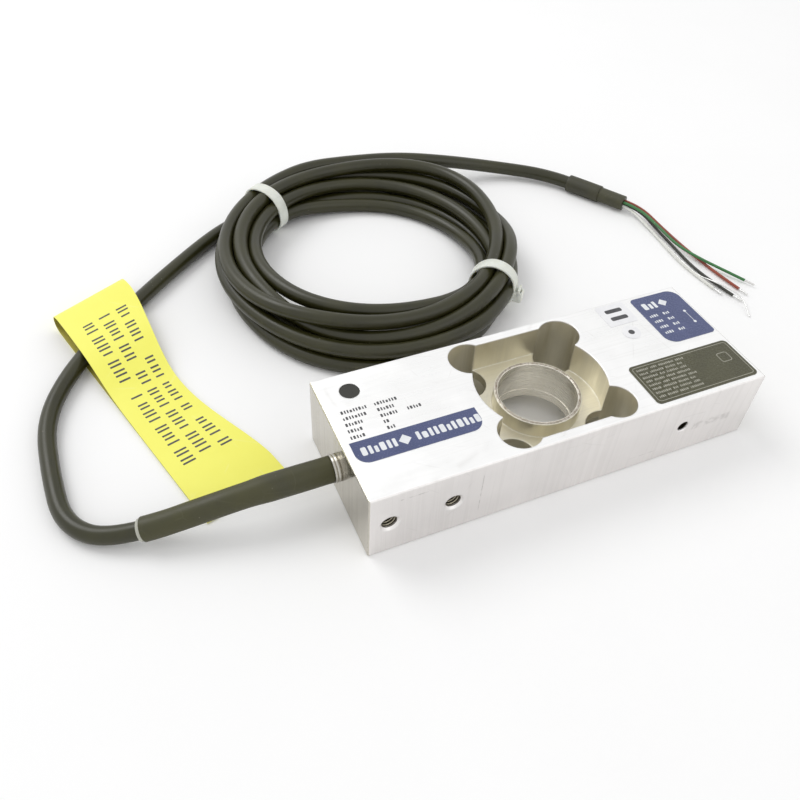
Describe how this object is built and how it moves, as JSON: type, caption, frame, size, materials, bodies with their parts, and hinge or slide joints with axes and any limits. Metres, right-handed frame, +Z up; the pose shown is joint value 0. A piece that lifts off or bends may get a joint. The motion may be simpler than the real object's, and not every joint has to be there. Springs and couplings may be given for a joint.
{
  "type": "single point load cell",
  "caption": "Hermetic single point load cell: steel block with a milled beam pocket, sealed ring, sleeved cable outlet and a tied coil of cable with bare wire ends.",
  "frame": {"origin": "centre of the block's underside", "axes": "+X along the block from the cable end to the load end, +Y across it from the fixed-end holes' face to the load-end holes' face, +Z up as it lies"},
  "size_m": [0.3074, 0.2122, 0.0287],
  "materials": {
    "stainless": "fine ground, satin",
    "sleeve_steel": "smooth drawn",
    "weld": "rough weld bead",
    "gauge_film": "amber film",
    "board": "coated laminate",
    "resistor": "lacquered",
    "potting": "cast resin",
    "inner_wire": "enamelled",
    "seal_rubber": "moulded",
    "gland_steel": "turned",
    "cable_jacket": "smooth polyurethane jacket",
    "bend_jacket": "heat-shrunk, satin",
    "liner_clear": "milky tube",
    "tie_natural": "moulded nylon",
    "shrink_black": "heat-shrunk, satin",
    "shrink_olive": "heat-shrunk, satin",
    "core_red": "extruded insulation",
    "core_green": "extruded insulation",
    "core_black": "extruded insulation",
    "core_white": "extruded insulation",
    "tinned": "tinned copper strands",
    "tag_film": "printed film",
    "label_blue": "printed film",
    "plate_olive": "printed foil plate",
    "sticker_white": "printed paper",
    "ink_dark": "screen-printed ink",
    "ink_light": "screen-printed ink"
  },
  "bodies": {
    "root": {"spring_element": "stainless", "seal_sleeve": "sleeve_steel", "seal_weld_top": "weld", "seal_weld_bottom": "weld", "strain_gauge_1": "gauge_film", "strain_gauge_2": "gauge_film", "strain_gauge_3": "gauge_film", "strain_gauge_4": "gauge_film", "gauge_ribbon": "gauge_film", "core_bundle": "inner_wire", "gauge_lead": "inner_wire", "terminal_board": "board", "trim_resistor_1": "resistor", "trim_resistor_2": "resistor", "potting_plug": "potting", "gland_body": "gland_steel", "gland_seal": "seal_rubber", "sleeve_liner": "liner_clear", "bend_sleeve": "bend_jacket", "cable_lead": "cable_jacket", "cable_coil": "cable_jacket", "coil_tie_1": "tie_natural", "coil_tie_2": "tie_natural", "cable_tail": "cable_jacket", "shrink_thick": "shrink_black", "shrink_thin": "shrink_olive", "wire_red": "core_red", "wire_green": "core_green", "wire_black": "core_black", "wire_white": "core_white", "drain_wire": "tinned", "tip_red": "tinned", "tip_green": "tinned", "tip_black": "tinned", "tip_white": "tinned", "handling_tag": "tag_film", "name_strip": "label_blue", "wiring_label": "label_blue", "data_plate": "plate_olive", "square_sticker": "sticker_white", "round_sticker": "sticker_white"}
  },
  "joints": []
}
